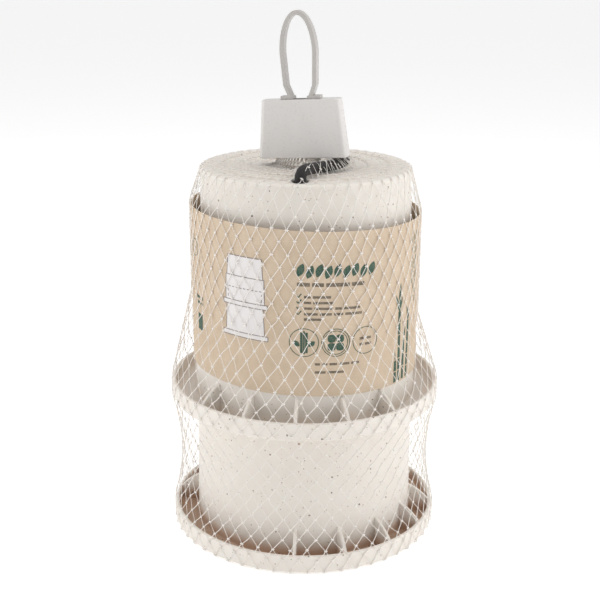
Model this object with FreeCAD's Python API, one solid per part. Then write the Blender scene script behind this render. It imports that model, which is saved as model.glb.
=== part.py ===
import FreeCAD, Part
import math
import os

# Pair of children's bucket stilts, nested one on the other, held in a net bag
# that is gathered into a plastic hanger clip. Millimetres, +Z up. The origin is
# the centre of the base, on the surface that the pack stands on. An azimuth is
# measured from the front (-Y), positive towards +X.

# ---------------------------------------------------------------- stilt moulding
STILT_HEIGHT = 129.8        # base to the flat of the top
NEST_OFFSET = 76.1          # how much higher the upper stilt stands
WALL = 2.2
SKIRT_R_BASE = 62.0         # outer wall radius at the base
SKIRT_R_SHOULDER = 60.6     # outer wall radius just below the stacking shoulder
BODY_R_SHOULDER = 58.4      # outer wall radius just above it
BODY_R_TOP = 56.9
SHOULDER_Z = NEST_OFFSET - 0.3
TOP_PLATE = 2.6
TOP_EDGE_R = 1.6

FLANGE_R = 75.0
LIP_HEIGHT = 10.1
LIP_WALL = 1.9
FLANGE_FLOOR = 2.2

RING_RADII = (46.4, 34.5, 23.2, 12.0)
RING_WIDTH = 2.2
RING_HEIGHT = 0.9

GUSSET_STEP = 22.0          # degrees between gussets
GUSSETS_PER_SIDE = 5
GUSSET_THICK = 1.8
GUSSET_TIP_Z = 19.4
GUSSET_BULGE = 1.0

HOLE_R = 4.0                # cord hole
HOLE_CENTRE_R = 48.6
RIB_DEPTH = 8.0
RIB_THICK = 1.8
RIB_START_R = 6.5
RIB_AZIMUTHS = (45, 135, 225, 315)

# ------------------------------------------------------------------- the stack
NET_GAP = 0.8               # lower stilt above the surface: net and clearance
LOWER_TURN = 39.8           # azimuth of each stilt's front gusset group
UPPER_TURN = -3.9
UPPER_Z = NET_GAP + NEST_OFFSET
TOP_Z = UPPER_Z + STILT_HEIGHT

# -------------------------------------------------------------- card label band
LABEL_R = 62.35             # inner radius
LABEL_THICK = 0.35
LABEL_LOW = 97.3
LABEL_HIGH = 184.8
LABEL_LOW_DROP = 2.0        # each edge falls by this towards +X, and rises towards -X
LABEL_HIGH_DROP = 2.4

# -------------------------------------------------------------------- hand cord
CORD_DIA = 6.2
CORD_REST_Z = TOP_Z + RING_HEIGHT + CORD_DIA / 2 + 0.05
TURN_PITCH = 6.4
COIL_MEAN_R = 35.5
COIL_LAYERS = 4
COIL_TURNS_WIDE = 2
COIL_FLOOR = NET_GAP + STILT_HEIGHT + RING_HEIGHT + 0.5
CORD_CLEARANCE = 0.25       # round the cord, in the net
KNOT_R = 8.5
KNOT_LENGTH = 12.0
KNOT_LEAD = 9.0
KNOT_CENTRE_R = 46.0        # clear of the wall beside the hole
KNOT_TOP_Z = TOP_Z - 5.4

# --------------------------------------------------------------------- net bag
NET = 0.5                   # net twine
NET_LIP_R = FLANGE_R + 0.35
NET_WAIST_R = 70.6
NET_WAIST_Z = 44.0
NET_SPLIT_Z = 82.0          # where the net's two halves meet, on the upper lip
NET_SKIRT_TOP = 133.0
NET_BAND_R = LABEL_R + LABEL_THICK + 0.55
GATHER_R = 9.0              # where the base of the net turns up into its tail
TAIL_R = 2.3
TAIL_HEIGHT = 30.0
BASE_CLIP_R = 3.6
BASE_CLIP_WALL = 1.0
BASE_CLIP_Z = 12.8
BASE_CLIP_HEIGHT = 4.0
NECK_BASE = (19.0, 5.6)     # width, depth
NECK_TOP = (17.0, 5.0)
NECK_HEIGHT = 4.4
NECK_Z = TOP_Z + 1.2
NECK_HOLE_R = 10.6

# ----------------------------------------------------------------- hanger clip
CLIP_X, CLIP_Y, CLIP_Z = -0.7, -14.0, TOP_Z + 6.6
CLIP_LEAN = -3.6            # degrees about Y
CLIP_YAW = -16.3            # degrees about Z
SLEEVE_HEIGHT = 30.3
SLEEVE_BASE = (48.0, 11.0)  # width, depth
SLEEVE_TOP = (42.3, 9.0)
SLEEVE_WALL = 1.5
SLEEVE_CORNER = 2.8
SLEEVE_EDGE = 0.5           # round of the top and bottom rims
LOOP_DEPTH = 5.5
LOOP_STRAP = 2.4
LOOP_HALF_WIDTH = 9.9
LOOP_EYE_Z = 53.5           # height of the loop's widest place above the sleeve's base
LOOP_TOP_Z = 75.0
LOOP_KINK_Z = 36.5
LOOP_FOOT_HALF = 6.05
LOOP_EDGE = 0.55
BAR_HALF = 15.0             # cross bar inside the sleeve, which traps the net
BAR_DROP = 14.0
BAR_HEIGHT = 3.0
LUG_REACH = 10.6
BUNCH_BASE = (34.0, 6.0)    # width, depth
BUNCH_TOP = (30.0, 4.6)

Z_AXIS = FreeCAD.Vector(0, 0, 1)
Y_AXIS = FreeCAD.Vector(0, 1, 0)
X_AXIS = FreeCAD.Vector(1, 0, 0)
ORIGIN = FreeCAD.Vector(0, 0, 0)


def polar(radius, azimuth, z):
    """Point at an azimuth in degrees from the front."""
    a = math.radians(azimuth)
    return FreeCAD.Vector(radius * math.sin(a), -radius * math.cos(a), z)


def rounded_wire(corners):
    """Closed wire in the XZ plane. Each corner is (x, z, radius of its round)."""
    cuts = []
    for i, (x, z, radius) in enumerate(corners):
        here = FreeCAD.Vector(x, 0, z)
        before = FreeCAD.Vector(corners[i - 1][0], 0, corners[i - 1][1]) - here
        after_corner = corners[(i + 1) % len(corners)]
        after = FreeCAD.Vector(after_corner[0], 0, after_corner[1]) - here
        if radius == 0:
            cuts.append((here, None, here))
            continue
        before.normalize()
        after.normalize()
        half = before.getAngle(after) / 2
        middle = before + after
        middle.normalize()
        tangent = radius / math.tan(half)
        reach = radius / math.sin(half) - radius
        cuts.append((here + before * tangent, here + middle * reach, here + after * tangent))
    edges = []
    for i, (start, mid, end) in enumerate(cuts):
        if mid is not None:
            edges.append(Part.Arc(start, mid, end).toShape())
        following = cuts[(i + 1) % len(cuts)][0]
        if (following - end).Length > 1e-6:
            edges.append(Part.LineSegment(end, following).toShape())
    return Part.Wire(edges)


def revolved(corners):
    return Part.Face(rounded_wire(corners)).revolve(ORIGIN, Z_AXIS, 360)


# ---------------------------------------------------------------- stilt moulding
def stilt_profile():
    """Half section of the stilt, from the inside of its mouth outwards and up."""
    lip_inner = FLANGE_R - LIP_WALL
    shoulder_in_z = SHOULDER_Z - WALL
    plate_z = STILT_HEIGHT - TOP_PLATE
    corners = [
        (SKIRT_R_BASE - WALL, 0, 0.4),
        (FLANGE_R, 0, 1.2),
        (FLANGE_R, LIP_HEIGHT, 0.85),
        (lip_inner, LIP_HEIGHT, 0.85),
        (lip_inner, FLANGE_FLOOR, 1.5),
        (SKIRT_R_BASE - 0.04, FLANGE_FLOOR, 1.3),
        (SKIRT_R_SHOULDER, SHOULDER_Z, 0.5),
        (BODY_R_SHOULDER, SHOULDER_Z, 0.5),
        (BODY_R_TOP, STILT_HEIGHT, TOP_EDGE_R),
    ]
    for radius in RING_RADII:
        outer = radius + RING_WIDTH / 2
        inner = radius - RING_WIDTH / 2
        corners += [
            (outer, STILT_HEIGHT, 0.2),
            (outer, STILT_HEIGHT + RING_HEIGHT, 0.45),
            (inner, STILT_HEIGHT + RING_HEIGHT, 0.45),
            (inner, STILT_HEIGHT, 0.2),
        ]
    corners += [
        (0, STILT_HEIGHT, 0),
        (0, plate_z, 0),
        (BODY_R_TOP - WALL, plate_z, 0.8),
        (BODY_R_SHOULDER - WALL, shoulder_in_z, 0.5),
        (SKIRT_R_SHOULDER - WALL, shoulder_in_z, 0.5),
    ]
    return corners


def gusset():
    """One fin between wall and lip, on the front centre line, with a soft top edge."""
    wall_in = SKIRT_R_BASE - 1.2
    lip_in = FLANGE_R - 1.0
    tip = FreeCAD.Vector(wall_in, 0, GUSSET_TIP_Z)
    toe = FreeCAD.Vector(lip_in, 0, LIP_HEIGHT - 0.8)
    bulge = (tip + toe) * 0.5 + FreeCAD.Vector(0.6, 0, 0.8) * GUSSET_BULGE
    foot_out = FreeCAD.Vector(lip_in, 0, 1.0)
    foot_in = FreeCAD.Vector(wall_in, 0, 1.0)
    outline = Part.Wire([
        Part.Arc(tip, bulge, toe).toShape(),
        Part.LineSegment(toe, foot_out).toShape(),
        Part.LineSegment(foot_out, foot_in).toShape(),
        Part.LineSegment(foot_in, tip).toShape(),
    ])
    fin = Part.Face(outline).extrude(Y_AXIS * GUSSET_THICK)
    fin.translate(Y_AXIS * (-GUSSET_THICK / 2))
    top_edges = [e for e in fin.Edges if not isinstance(e.Curve, Part.Line)]
    fin = fin.makeFillet(0.55, top_edges)
    fin.rotate(ORIGIN, Z_AXIS, -90)
    return fin


def cord_hole(side):
    """Cutter for a cord hole with a broken upper edge; side is 0 or 180 degrees."""
    centre = polar(HOLE_CENTRE_R, side, 0)
    drill = Part.makeCylinder(HOLE_R, 12, centre + Z_AXIS * (STILT_HEIGHT - 8))
    sink = Part.makeCone(HOLE_R, HOLE_R + 1.2, 1.2, centre + Z_AXIS * (STILT_HEIGHT - 0.6))
    return drill.fuse(sink)


def under_ribs():
    """Four radial stiffening ribs below the top plate."""
    ribs = []
    length = BODY_R_TOP - WALL / 2 - RIB_START_R
    for azimuth in RIB_AZIMUTHS:
        rib = Part.makeBox(length, RIB_THICK, RIB_DEPTH + 1)
        rib.translate(FreeCAD.Vector(RIB_START_R, -RIB_THICK / 2, STILT_HEIGHT - TOP_PLATE - RIB_DEPTH))
        rib.rotate(ORIGIN, Z_AXIS, azimuth)
        ribs.append(rib)
    return ribs


def stilt(turn, z):
    fins = []
    for side in (0, 180):
        for i in range(GUSSETS_PER_SIDE):
            fin = gusset()
            step = i - (GUSSETS_PER_SIDE - 1) / 2
            fin.rotate(ORIGIN, Z_AXIS, side + step * GUSSET_STEP)
            fins.append(fin)
    body = revolved(stilt_profile()).fuse(fins + under_ribs())
    body = body.cut(cord_hole(0).fuse(cord_hole(180))).removeSplitter()
    body.rotate(ORIGIN, Z_AXIS, turn)
    body.translate(Z_AXIS * z)
    return body


# -------------------------------------------------------------- card label band
def beyond(z, drop, upward):
    """Block above (or below) a plane that falls by drop over LABEL_R towards +X."""
    size = 200
    block = Part.makeBox(size, size, size)
    block.translate(FreeCAD.Vector(-size / 2, -size / 2, 0 if upward else -size))
    block.rotate(ORIGIN, Y_AXIS, math.degrees(math.atan(drop / LABEL_R)))
    block.translate(Z_AXIS * z)
    return block


def label_band():
    low = LABEL_LOW - 5
    height = LABEL_HIGH + 5 - low
    band = Part.makeCylinder(LABEL_R + LABEL_THICK, height, Z_AXIS * low)
    band = band.cut(Part.makeCylinder(LABEL_R, height, Z_AXIS * low))
    band = band.cut(beyond(LABEL_HIGH, LABEL_HIGH_DROP, True))
    return band.cut(beyond(LABEL_LOW, LABEL_LOW_DROP, False))


# -------------------------------------------------------------------- hand cord
FRONT_HOLE = polar(HOLE_CENTRE_R, UPPER_TURN, 0)
BACK_HOLE = polar(HOLE_CENTRE_R, UPPER_TURN + 180, 0)
COIL_TOP = COIL_FLOOR + COIL_LAYERS * TURN_PITCH

# Knot under the front hole, up through it, over the top to the right, round
# behind the clip, down the back hole and on to the coil inside.
CORD_ROUTE = [
    FRONT_HOLE + Z_AXIS * KNOT_TOP_Z,
    FRONT_HOLE + Z_AXIS * (TOP_Z + 1.1),
    FreeCAD.Vector(-2.0, -44.8, TOP_Z + 5.0),
    FreeCAD.Vector(1.8, -37.8, TOP_Z + 4.7),
    FreeCAD.Vector(8.5, -29.5, CORD_REST_Z),
    FreeCAD.Vector(16.0, -21.0, CORD_REST_Z),
    FreeCAD.Vector(20.6, -10.5, CORD_REST_Z),
    FreeCAD.Vector(20.2, 2.0, CORD_REST_Z),
    FreeCAD.Vector(16.0, 15.0, CORD_REST_Z),
    FreeCAD.Vector(10.0, 27.5, CORD_REST_Z),
    FreeCAD.Vector(5.0, 38.0, TOP_Z + 4.6),
    FreeCAD.Vector(3.6, 44.6, TOP_Z + 5.0),
    BACK_HOLE + Z_AXIS * (TOP_Z + 1.1),
    BACK_HOLE + Z_AXIS * (TOP_Z - 9.0),
    FreeCAD.Vector(3.1, 48.2, TOP_Z - 24.0),
    FreeCAD.Vector(2.2, 46.6, TOP_Z - 38.0),
    FreeCAD.Vector(-3.5, 44.0, COIL_TOP + 4.0),
    FreeCAD.Vector(-13.0, 38.6, COIL_TOP - 0.6),
]


def cord_tube(route, diameter):
    """Tube along straight runs joined by tangent arcs, and its length."""
    path = []
    length = 0.0
    start = route[0]
    for i in range(1, len(route) - 1):
        back = route[i - 1] - route[i]
        ahead = route[i + 1] - route[i]
        shorter = min(back.Length, ahead.Length)
        half_turn = (math.pi - back.getAngle(ahead)) / 2
        tangent = 0.45 * shorter
        radius = tangent / math.tan(half_turn)
        back.normalize()
        ahead.normalize()
        middle = back + ahead
        middle.normalize()
        reach = radius / math.cos(half_turn) - radius
        into = route[i] + back * tangent
        out = route[i] + ahead * tangent
        path.append(Part.LineSegment(start, into).toShape())
        path.append(Part.Arc(into, route[i] + middle * reach, out).toShape())
        length += (into - start).Length + radius * 2 * half_turn
        print("cord bend %2d: turn %4.1f deg, radius %5.1f mm" % (i, math.degrees(2 * half_turn), radius))
        start = out
    path.append(Part.LineSegment(start, route[-1]).toShape())
    length += (route[-1] - start).Length
    section = Part.Wire(Part.makeCircle(diameter / 2, route[0], route[1] - route[0]))
    tube = Part.Wire(path).makePipeShell([section], True, False)
    expected = math.pi * diameter ** 2 / 4 * length
    print("cord tube %.1f mm long, volume %.4f of section times length" % (length, tube.Volume / expected))
    return tube


def coil():
    half = COIL_TURNS_WIDE * TURN_PITCH / 2
    inner = COIL_MEAN_R - half
    outer = COIL_MEAN_R + half
    corners = [(inner, COIL_FLOOR, 2), (outer, COIL_FLOOR, 2), (outer, COIL_TOP, 2), (inner, COIL_TOP, 2)]
    return revolved(corners)


def knot(centre, axis):
    """Stopper knot as a barrel with rounded ends."""
    barrel = Part.makeCylinder(KNOT_R, KNOT_LENGTH, centre - axis * (KNOT_LENGTH / 2), axis)
    rims = [e for e in barrel.Edges if isinstance(e.Curve, Part.Circle)]
    return barrel.makeFillet(1.9, rims)


def end_knot():
    """Knot at the cord's free end, in the eye of the coil, with a short lead towards the last turn."""
    inner = COIL_MEAN_R - COIL_TURNS_WIDE * TURN_PITCH / 2
    centre = FreeCAD.Vector(inner - KNOT_R - 3.5, 0, COIL_FLOOR + KNOT_R)
    start = centre + Y_AXIS * (KNOT_LENGTH / 2 - 1.5)
    lead = Part.makeCylinder(CORD_DIA / 2, KNOT_LEAD, start, FreeCAD.Vector(0.1, 0.8, 0.6))
    return knot(centre, Y_AXIS).fuse(lead).removeSplitter()


# --------------------------------------------------------------------- net bag
def net_waist():
    """Net from the lower lip, drawn in round the waist, to the middle of the upper lip."""
    low = NET_GAP + LIP_HEIGHT + 1
    high = UPPER_Z + 0.5
    faces = []
    for grow in (0, NET):
        points = [
            FreeCAD.Vector(NET_LIP_R + grow, 0, NET_GAP),
            FreeCAD.Vector(NET_LIP_R + grow, 0, low),
            FreeCAD.Vector(NET_LIP_R + grow, 0, high),
            FreeCAD.Vector(NET_LIP_R + grow, 0, NET_SPLIT_Z),
        ]
        waist = FreeCAD.Vector(NET_WAIST_R + grow, 0, NET_WAIST_Z)
        faces.append([
            Part.LineSegment(points[0], points[1]).toShape(),
            Part.Arc(points[1], waist, points[2]).toShape(),
            Part.LineSegment(points[2], points[3]).toShape(),
            points[0],
            points[3],
        ])
    inner, outer = faces
    edges = inner[:3] + [Part.LineSegment(inner[4], outer[4]).toShape()]
    edges += list(reversed(outer[:3])) + [Part.LineSegment(outer[3], inner[3]).toShape()]
    return Part.Face(Part.Wire(edges)).revolve(ORIGIN, Z_AXIS, 360)


def net_base():
    """Net drawn flat under the base, with a hole where it gathers up."""
    rim = NET_LIP_R + NET
    return revolved([(GATHER_R, 0, 0), (rim, 0, 0.2), (rim, NET, 0.2), (GATHER_R, NET, 0)])


def net_tail():
    """Gathered bottom of the net, drawn up into the hollow: cone, neck and brush."""
    foot = GATHER_R - 0.1
    neck_low = BASE_CLIP_Z - 0.8
    neck_high = BASE_CLIP_Z + BASE_CLIP_HEIGHT + 1.2
    return revolved([
        (0, NET, 0),
        (foot, 0.05, 0),
        (foot, NET + 0.1, 0),
        (TAIL_R + 0.1, neck_low, 1.5),
        (TAIL_R - 0.1, neck_high, 1.5),
        (TAIL_R + 3.2, TAIL_HEIGHT, 0.8),
        (0, TAIL_HEIGHT, 0),
    ])


def base_clip():
    """Crimped metal clip round the net's tail."""
    foot = Z_AXIS * BASE_CLIP_Z
    bore = Part.makeCylinder(BASE_CLIP_R - BASE_CLIP_WALL, BASE_CLIP_HEIGHT, foot)
    ring = Part.makeCylinder(BASE_CLIP_R, BASE_CLIP_HEIGHT, foot).cut(bore)
    gap_width = 1.0
    gap = Part.makeBox(BASE_CLIP_R + 1, gap_width, BASE_CLIP_HEIGHT + 0.2)
    gap.translate(FreeCAD.Vector(0, -gap_width / 2, BASE_CLIP_Z - 0.1))
    return ring.cut(gap)


def net_upper():
    """Net from the upper lip, up over the label band and the rim, and flat over the top."""
    rim_r = BODY_R_TOP + 0.75
    lip_top = UPPER_Z + LIP_HEIGHT + 0.7
    crown = TOP_Z + RING_HEIGHT + 0.2
    shell = revolved([
        (NET_LIP_R, NET_SPLIT_Z + 0.5, 0),
        (NET_LIP_R + NET, NET_SPLIT_Z + 0.5, 0),
        (NET_LIP_R + NET, lip_top, 1.5),
        (NET_BAND_R + NET, NET_SKIRT_TOP, 4),
        (NET_BAND_R + NET, LABEL_HIGH + 2.2, 3),
        (rim_r + NET, crown + NET, 1.5),
        (0, crown + NET, 0),
        (0, crown, 0),
        (rim_r, crown, 1.0),
        (NET_BAND_R, LABEL_HIGH + 2.2, 3),
        (NET_BAND_R, NET_SKIRT_TOP, 4),
        (NET_LIP_R, lip_top, 1.5),
    ])
    return shell.cut(net_neck_hole())


def net_neck_hole():
    return Part.makeCylinder(NECK_HOLE_R, 20, FreeCAD.Vector(CLIP_X, CLIP_Y, TOP_Z))


def net_neck():
    """Gathered net between the top of the stilt and the mouth of the clip."""
    neck = flat_prism(NECK_BASE, NECK_TOP, NECK_HEIGHT, 2.4)
    neck.rotate(ORIGIN, Z_AXIS, CLIP_YAW)
    neck.translate(FreeCAD.Vector(CLIP_X, CLIP_Y, NECK_Z))
    return neck


# ----------------------------------------------------------------- hanger clip
def rounded_rectangle(width, depth, z, corner):
    """Closed wire round the Z axis with rounded corners."""
    x = width / 2
    y = depth / 2
    flat = rounded_wire([(-x, -y, corner), (x, -y, corner), (x, y, corner), (-x, y, corner)])
    flat.rotate(ORIGIN, X_AXIS, -90)
    flat.translate(Z_AXIS * z)
    return flat


def flat_prism(base, top, height, corner):
    """Tapering rounded block from z = 0; base and top are (width, depth)."""
    low = rounded_rectangle(base[0], base[1], 0, corner)
    high = rounded_rectangle(top[0], top[1], height, corner)
    return Part.makeLoft([low, high], True, True)


def place_on_clip(shape):
    """From the clip's own frame, base centre at the origin, to its place on the stack."""
    shape.rotate(ORIGIN, Y_AXIS, CLIP_LEAN)
    shape.rotate(ORIGIN, Z_AXIS, CLIP_YAW)
    shape.translate(FreeCAD.Vector(CLIP_X, CLIP_Y, CLIP_Z))
    return shape


def shrunk(size):
    return (size[0] - 2 * SLEEVE_WALL, size[1] - 2 * SLEEVE_WALL)


def level_edges(shape):
    """The edges that lie flat, which are the rims of an upright prism."""
    return [e for e in shape.Edges if e.BoundBox.ZLength < 0.01]


def hanger_sleeve():
    outer = flat_prism(SLEEVE_BASE, SLEEVE_TOP, SLEEVE_HEIGHT, SLEEVE_CORNER)
    outer = outer.makeFillet(SLEEVE_EDGE, level_edges(outer))
    inner = flat_prism(shrunk(SLEEVE_BASE), shrunk(SLEEVE_TOP), SLEEVE_HEIGHT, SLEEVE_CORNER - SLEEVE_WALL)
    inner.translate(Z_AXIS * -SLEEVE_WALL)
    slot_x = 2 * LOOP_FOOT_HALF + 0.5
    slot_y = LOOP_DEPTH + 0.5
    slot = Part.makeBox(slot_x, slot_y, 6, FreeCAD.Vector(-slot_x / 2, -slot_y / 2, SLEEVE_HEIGHT - 4))
    return place_on_clip(outer.cut(inner).cut(slot))


def loop_outline(inset):
    """Outline of the hanging loop down to the sleeve's top, moved inwards by inset."""
    half = LOOP_HALF_WIDTH - inset
    kink = LOOP_HALF_WIDTH - 0.9 - inset
    foot = LOOP_FOOT_HALF - inset
    top = Part.Ellipse(FreeCAD.Vector(0, 0, LOOP_TOP_Z - inset), FreeCAD.Vector(half, 0, LOOP_EYE_Z),
                       FreeCAD.Vector(0, 0, LOOP_EYE_Z))
    arch = Part.ArcOfEllipse(top, -math.pi / 2, math.pi / 2).toShape()
    right, left = sorted((v.Point for v in arch.Vertexes), key=lambda p: -p.x)
    corners = [
        right,
        FreeCAD.Vector(kink, 0, LOOP_KINK_Z + 1.0),
        FreeCAD.Vector(foot, 0, SLEEVE_HEIGHT),
        FreeCAD.Vector(-foot, 0, SLEEVE_HEIGHT),
        FreeCAD.Vector(-kink, 0, LOOP_KINK_Z + 1.0),
        left,
    ]
    sides = [Part.LineSegment(a, b).toShape() for a, b in zip(corners, corners[1:])]
    return Part.Face(Part.Wire([arch] + sides))


def upper_face_edges(strap):
    """The strap's edges on its two broad faces, above the foot."""
    return [e for e in strap.Edges if e.BoundBox.YLength < 0.01 and e.BoundBox.ZMax > SLEEVE_HEIGHT + 3]


def slab(x_low, x_high, z_low, z_high):
    """Block of the loop's depth."""
    return Part.makeBox(x_high - x_low, LOOP_DEPTH, z_high - z_low,
                        FreeCAD.Vector(x_low, -LOOP_DEPTH / 2, z_low))


def hanger_loop():
    """Strap loop with two lugs on the sleeve's top and a cross bar inside that traps the net."""
    strap = loop_outline(0).cut(loop_outline(LOOP_STRAP)).extrude(Y_AXIS * LOOP_DEPTH)
    strap.translate(Y_AXIS * (-LOOP_DEPTH / 2))
    strap = strap.makeFillet(LOOP_EDGE, upper_face_edges(strap))
    bar_z = SLEEVE_HEIGHT - BAR_DROP
    pieces = [slab(-BAR_HALF, BAR_HALF, bar_z, bar_z + BAR_HEIGHT)]
    for side in (-1, 1):
        legs = sorted((side * (LOOP_FOOT_HALF - LOOP_STRAP), side * LOOP_FOOT_HALF))
        lugs = sorted((side * (LOOP_FOOT_HALF - 1.2), side * LUG_REACH))
        pieces.append(slab(legs[0], legs[1], bar_z, SLEEVE_HEIGHT + 1.6))
        pieces.append(slab(lugs[0], lugs[1], SLEEVE_HEIGHT + 0.05, SLEEVE_HEIGHT + 1.75))
    return place_on_clip(strap.fuse(pieces).removeSplitter())


def net_bunch():
    """The net's gathered top, packed inside the sleeve below the cross bar."""
    bunch = flat_prism(BUNCH_BASE, BUNCH_TOP, SLEEVE_HEIGHT - BAR_DROP - 2.0, 2.0)
    bunch.translate(Z_AXIS * 1.0)
    return place_on_clip(bunch)


# ------------------------------------------------------------------------ build
def build():
    cord = cord_tube(CORD_ROUTE, CORD_DIA)
    groove = cord_tube(CORD_ROUTE, CORD_DIA + 2 * CORD_CLEARANCE)
    knot_centre = polar(KNOT_CENTRE_R, UPPER_TURN, KNOT_TOP_Z - KNOT_LENGTH / 2)
    nodes = {
        "lower_stilt": stilt(LOWER_TURN, NET_GAP),
        "upper_stilt": stilt(UPPER_TURN, UPPER_Z),
        "label_band": label_band(),
        "hand_cord": cord,
        "hand_cord_coil": coil(),
        "cord_knot_front": knot(knot_centre, Z_AXIS),
        "cord_knot_end": end_knot(),
        "net_waist": net_waist(),
        "net_base": net_base(),
        "net_tail": net_tail(),
        "base_clip": base_clip(),
        "net_upper": net_upper().cut(groove),
        "net_neck": net_neck(),
        "net_bunch": net_bunch(),
        "hanger_sleeve": hanger_sleeve(),
        "hanger_loop": hanger_loop(),
    }
    return nodes


os.makedirs("parts", exist_ok=True)
for name, shape in build().items():
    shape.exportStep("parts/%s.step" % name)
    box = shape.BoundBox
    print("%-16s solids %d valid %s volume %9.1f  z %.1f to %.1f" % (
        name, len(shape.Solids), shape.isValid(), shape.Volume, box.ZMin, box.ZMax))

hinge = Part.Vertex(FreeCAD.Vector(0, SLEEVE_BASE[1] / 2, 0))
ahead = Part.Vertex(FreeCAD.Vector(1, SLEEVE_BASE[1] / 2, 0))
hinge_point = place_on_clip(hinge).Point
print("hanger hinge at", hinge_point, "along", place_on_clip(ahead).Point - hinge_point)
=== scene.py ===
# %% [markdown]
# # A nested pair of bucket stilts in a net bag
#
# The object is a retail pack: two upturned cups that a child stands on, one nested on the
# other, with a cord, a kraft card band, a white net over everything and a grey hanger clip.
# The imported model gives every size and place. This lesson builds the looks around it: the
# cord, the card and the net are new meshes, and the moulded parts keep their own shape and
# get materials. All lengths in Blender are metres, so the constants below are turned from
# millimetres where they are used.

# %% Load the fixed frame
import math
import bpy
import numpy as np
from mathutils import Matrix, Vector


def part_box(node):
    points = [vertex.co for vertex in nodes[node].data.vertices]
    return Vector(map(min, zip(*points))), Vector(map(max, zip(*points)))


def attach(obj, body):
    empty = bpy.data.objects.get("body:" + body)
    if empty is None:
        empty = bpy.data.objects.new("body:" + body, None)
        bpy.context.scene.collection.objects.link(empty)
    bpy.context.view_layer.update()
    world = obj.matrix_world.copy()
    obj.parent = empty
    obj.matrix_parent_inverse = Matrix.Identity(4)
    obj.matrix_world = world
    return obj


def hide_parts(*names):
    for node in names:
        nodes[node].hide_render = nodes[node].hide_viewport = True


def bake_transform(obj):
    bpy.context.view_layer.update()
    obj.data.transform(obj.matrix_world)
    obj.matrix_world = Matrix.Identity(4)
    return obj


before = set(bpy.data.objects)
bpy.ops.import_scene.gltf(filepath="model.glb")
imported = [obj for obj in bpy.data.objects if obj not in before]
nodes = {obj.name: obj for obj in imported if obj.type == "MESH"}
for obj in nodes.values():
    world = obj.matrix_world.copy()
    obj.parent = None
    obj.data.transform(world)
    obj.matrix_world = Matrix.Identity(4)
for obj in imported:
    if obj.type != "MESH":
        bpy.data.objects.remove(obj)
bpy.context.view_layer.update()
MM = 0.001

# %% [markdown]
# ## Sizes read from the model
#
# A piece made here has to sit on the moulded parts, so its sizes come from their boxes.
# Only what the boxes can't say, such as how far a net hugs the card, is a value of its own.

# %% Read the sizes
stilt_low, stilt_high = (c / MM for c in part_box("upper_stilt"))
lower_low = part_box("lower_stilt")[0] / MM
card_low, card_high = (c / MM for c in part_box("label_band"))

RING_HEIGHT = 0.9
TOP_Z = stilt_high.z - RING_HEIGHT
LIP_R = stilt_high.x
LIP_HEIGHT = 10.1
LOWER_LIP = (lower_low.z, lower_low.z + LIP_HEIGHT)
UPPER_LIP = (stilt_low.z, stilt_low.z + LIP_HEIGHT)
CARD_R = card_high.x
print("top of the upper stilt", round(TOP_Z, 1), "lip radius", round(LIP_R, 1))
print("card radius", round(CARD_R, 2), "card from", round(card_low.z, 1), "to", round(card_high.z, 1))

# %% [markdown]
# ## Camera
#
# A small product is seen best through a long lens, from a little above, because the lens
# keeps its sides nearly parallel and the height shows the pockets of both flanges. The
# camera comes first, since everything after it is judged through it.

# %% Add the camera
CAMERA_PLACE = Vector((-2.8, -594.0, 315.9)) * MM
LOOKING_DOWN = 17.4
ROLL = 0.32
LENS = 66.5

camera_data = bpy.data.cameras.new("camera")
camera_data.lens = LENS
camera_data.sensor_width = 36
camera = bpy.data.objects.new("camera", camera_data)
tilt = Matrix.Rotation(math.radians(90 - LOOKING_DOWN), 4, "X")
roll = Matrix.Rotation(math.radians(ROLL), 4, "Z")
camera.matrix_world = Matrix.Translation(CAMERA_PLACE) @ tilt @ roll
bpy.context.scene.collection.objects.link(camera)
bpy.context.scene.camera = camera
print("camera", LENS, "mm lens,", round(CAMERA_PLACE.length, 3), "m from the base")

# %% [markdown]
# ## One tube builder for cord, knots and net
#
# A cord and a net strand are both a round section carried along a line. Blender can bevel a
# curve, but a braid needs its surface moved ring by ring, and a net has thousands of short
# strands, so one function works on arrays: rings of points round each line, quads between
# the rings and a face over each end, which leaves every tube closed.

# %% Helpers for meshes
def unit(vectors):
    """Each vector at length 1."""
    return vectors / np.maximum(np.linalg.norm(vectors, axis=-1, keepdims=True), 1e-12)


def lofts(rings):
    """Points and faces of closed skins. rings is (skin, ring, point, 3); both ends are capped."""
    count, length, around, _ = rings.shape
    ids = np.arange(count * length * around).reshape(count, length, around)
    here, ahead = ids[:, :-1], ids[:, 1:]
    quads = np.stack([here, np.roll(here, -1, 2), np.roll(ahead, -1, 2), ahead], -1)
    caps = ids[:, 0, ::-1].tolist() + ids[:, -1].tolist()
    return rings.reshape(-1, 3), quads.reshape(-1, 4).tolist() + caps


def tubes(lines, radii, outward, sides):
    """Closed round skins along lines (tube, ring, 3); radii is (tube, ring) or (tube, ring, side)."""
    along = unit(np.gradient(lines, axis=1))
    up = unit(outward - (outward * along).sum(-1, keepdims=True) * along)
    side = np.cross(along, up)
    turn = np.arange(sides) * 2 * math.pi / sides
    ring = up[:, :, None] * np.cos(turn)[:, None] + side[:, :, None] * np.sin(turn)[:, None]
    reach = radii if radii.ndim == 3 else radii[..., None]
    return lofts(lines[:, :, None] + ring * reach[..., None])


def new_piece(name, points, faces, material, smooth=True):
    """A mesh object from points in millimetres."""
    mesh = bpy.data.meshes.new(name)
    mesh.from_pydata((np.asarray(points) * MM).tolist(), [], faces)
    mesh.materials.append(material)
    if smooth:
        mesh.shade_smooth()
    piece = bpy.data.objects.new(name, mesh)
    bpy.context.scene.collection.objects.link(piece)
    print(name, len(mesh.polygons), "faces")
    return piece


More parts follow.
